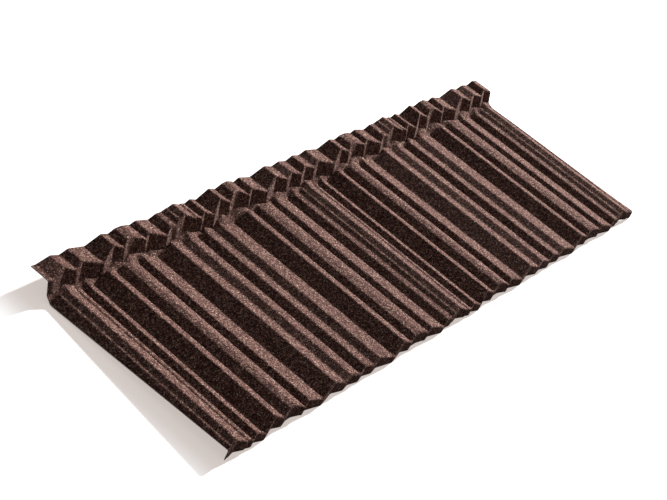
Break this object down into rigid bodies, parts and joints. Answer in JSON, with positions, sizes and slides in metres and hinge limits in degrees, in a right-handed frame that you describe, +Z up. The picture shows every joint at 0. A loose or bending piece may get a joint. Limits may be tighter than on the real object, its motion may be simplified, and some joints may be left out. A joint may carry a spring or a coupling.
{
  "type": "metal roofing sheet",
  "caption": "Tile effect roofing sheet: thin pressed metal with a stone granule coat, ribbed like split shakes, with a turned-down front lip and a raised rear flange.",
  "frame": {"origin": "centre of the sheet's outline, on the level floor that it lies on", "axes": "+X along the sheet's length, +Y from the front lip to the raised rear flange, +Z up"},
  "size_m": [1.31, 0.4016, 0.0423],
  "materials": {
    "stone_coat": "matt coat of mixed dark brown stone granules on steel"
  },
  "bodies": {
    "root": {"roofing_sheet": "stone_coat"}
  },
  "joints": []
}
